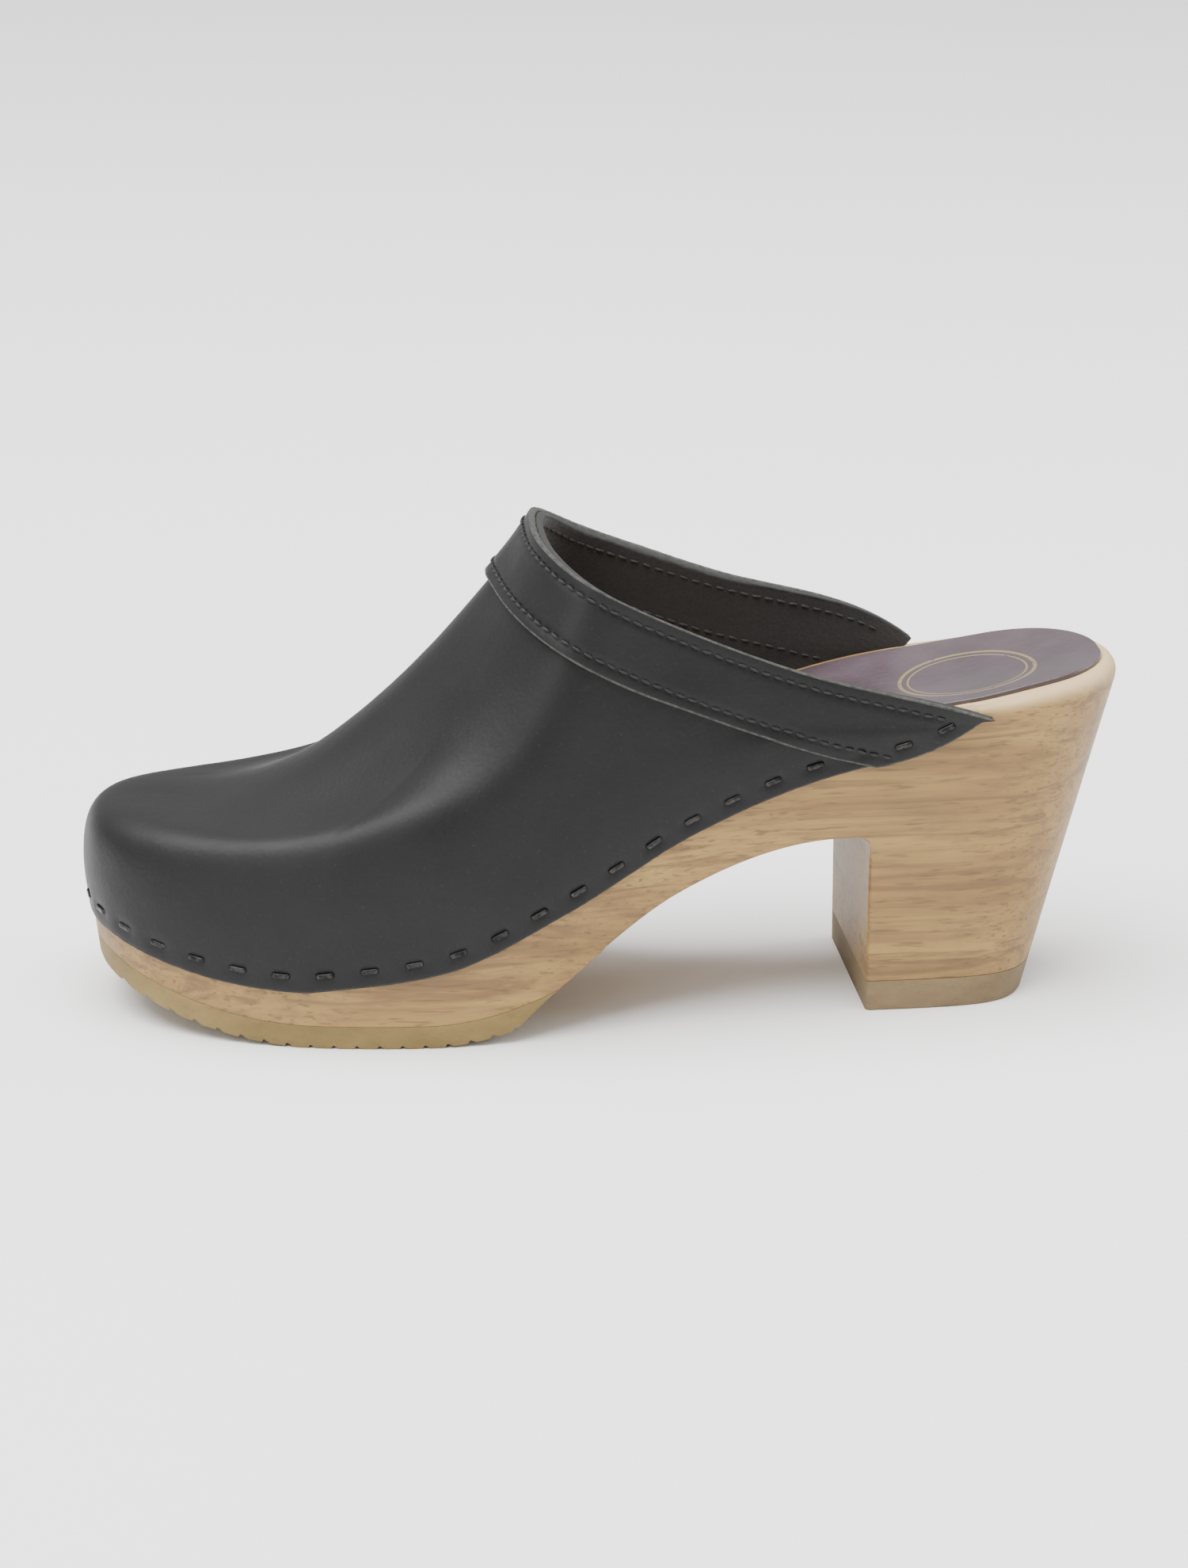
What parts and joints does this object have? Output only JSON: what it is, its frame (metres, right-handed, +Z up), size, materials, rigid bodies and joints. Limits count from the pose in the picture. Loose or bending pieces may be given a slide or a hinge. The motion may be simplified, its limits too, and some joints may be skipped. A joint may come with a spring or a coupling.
{
  "type": "wooden clog",
  "caption": "Left mule clog: carved wooden sole with a block heel, stapled leather upper with a stitched collar band, rubber treads.",
  "frame": {"origin": "centre of the footprint box on the floor under the clog", "axes": "+X from toe to heel, +Y from the outer to the inner side of the foot, +Z up"},
  "size_m": [0.243, 0.0922, 0.1129],
  "materials": {
    "wood": "sanded, satin, pale alder",
    "tread_rubber": "matte honey tan",
    "lift_rubber": "matte, worn",
    "upper_leather": "smooth satin, near black",
    "band_leather": "smooth satin, raw cut edges",
    "stiffener": "felted",
    "thread": "twisted thread",
    "staple_steel": "darkened wire",
    "sock_leather": "glossy, pebbled"
  },
  "bodies": {
    "root": {"wooden_sole": "wood", "forefoot_outsole": "tread_rubber", "heel_lift": "lift_rubber", "leather_upper": "upper_leather", "toe_puff": "stiffener", "collar_band": "band_leather", "collar_stitches_upper": "thread", "collar_stitches_lower": "thread", "staples": "staple_steel", "heel_sock": "sock_leather"}
  },
  "joints": []
}
